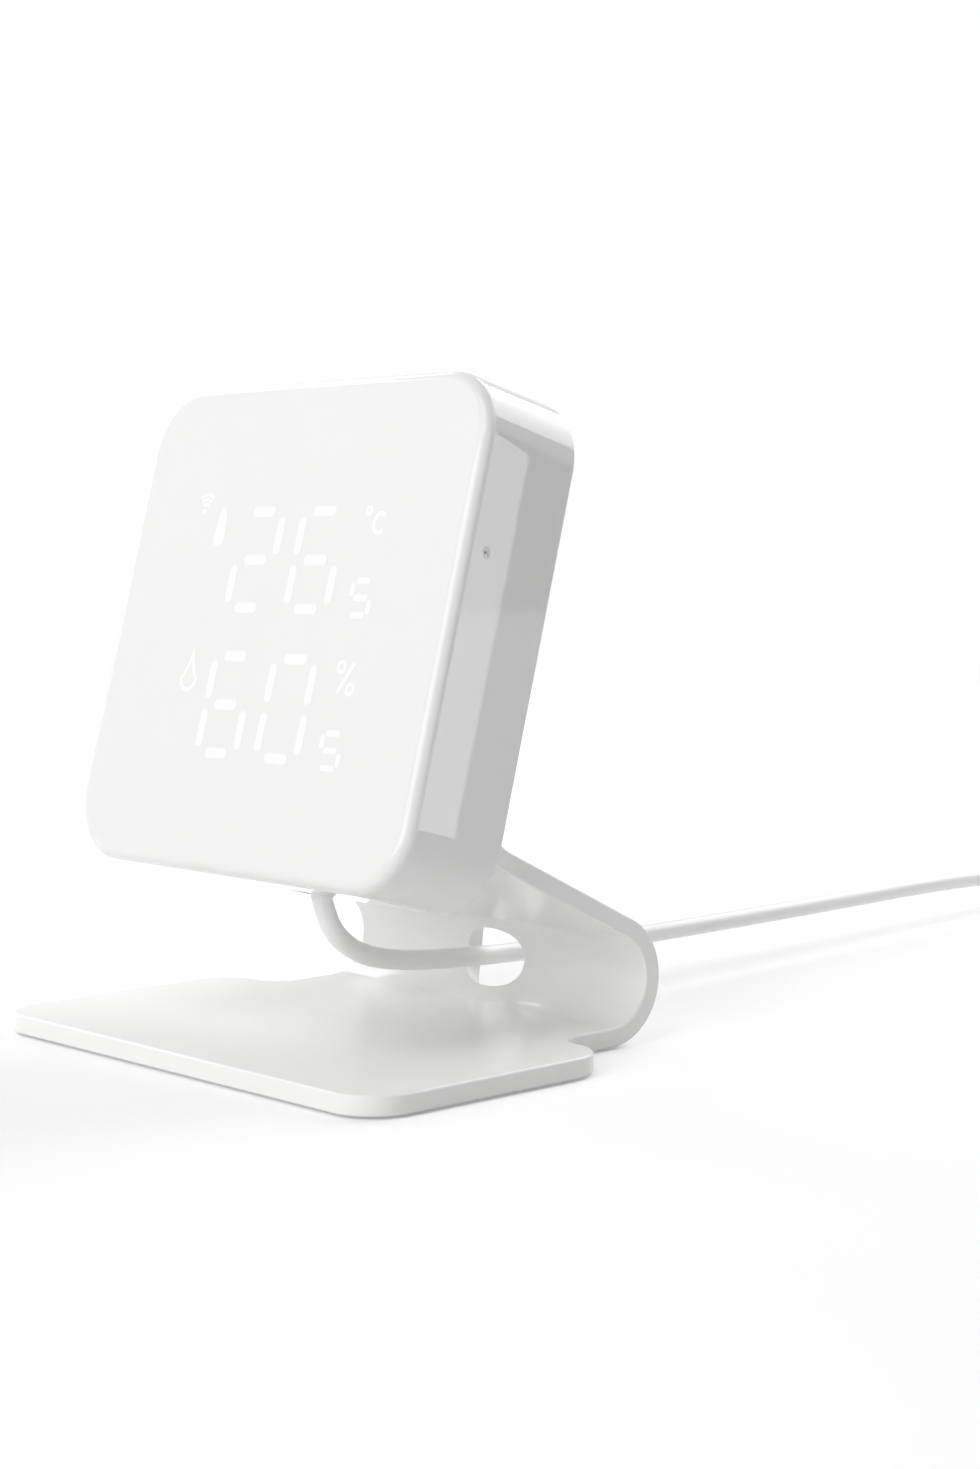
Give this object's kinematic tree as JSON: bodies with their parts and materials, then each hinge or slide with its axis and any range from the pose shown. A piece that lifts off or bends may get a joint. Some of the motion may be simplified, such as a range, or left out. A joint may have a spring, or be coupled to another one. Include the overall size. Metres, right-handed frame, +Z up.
{
  "type": "desk thermo-hygrometer",
  "caption": "Rounded square head with a lit display of temperature and humidity, leaning back on a bent one-piece stand, with its power lead.",
  "frame": {"origin": "under the middle of the stand and head, on the surface that the foot pads rest on", "axes": "+Z up, the display looks along -Y, +X is the reader's right"},
  "size_m": [0.0926, 0.2998, 0.1015],
  "materials": {
    "board": "green solder mask",
    "brass": "knurled brass",
    "button": "black plunger",
    "chip": "black epoxy package",
    "cord_white": "satin white sheath",
    "film": "milky diffuser film",
    "foam": "closed-cell foam",
    "gold": "gilt pins",
    "insert_white": "white contact carrier",
    "lamp": "lamp package",
    "pad": "translucent silicone",
    "plug_white": "satin white overmould",
    "shield": "tinned shield",
    "steel": "zinc-plated steel",
    "tie_white": "soft white strap",
    "white_gloss": "glossy white moulding",
    "white_light_box": "opaque white light box",
    "white_satin": "satin white moulding"
  },
  "bodies": {
    "station": {"front_shell": "white_gloss", "rear_cover": "white_satin", "cover_screws": "steel", "segment_frame": "white_light_box", "diffuser_film": "film", "led_chips": "lamp", "main_pcb": "board", "pcb_screws": "steel", "radio_module": "board", "shield_can": "shield", "led_driver": "chip", "pcb_components": "chip", "power_board": "board", "header_pins": "gold", "power_socket": "steel", "humidity_sensor": "chip", "sensor_gasket": "foam", "reset_switch_body": "chip", "stand": "white_satin", "stand_screws": "steel", "threaded_inserts": "brass", "foot_pads": "pad", "device_plug_shell": "steel", "device_plug_body": "plug_white", "device_strain_relief": "plug_white", "cord_lead": "cord_white", "cord_coil": "cord_white", "cord_tail": "cord_white", "cord_tie": "tie_white", "supply_strain_relief": "plug_white", "supply_plug_body": "plug_white", "supply_plug_shell": "steel", "supply_plug_insert": "insert_white"},
    "reset_button": {"reset_plunger": "button"}
  },
  "joints": [
    {"name": "reset_press", "type": "slide", "parent": "station", "child": "reset_button", "axis": [-1, 0, 0], "range_m": [0, 0.00025], "stiffness_N_per_m": 800}
  ]
}
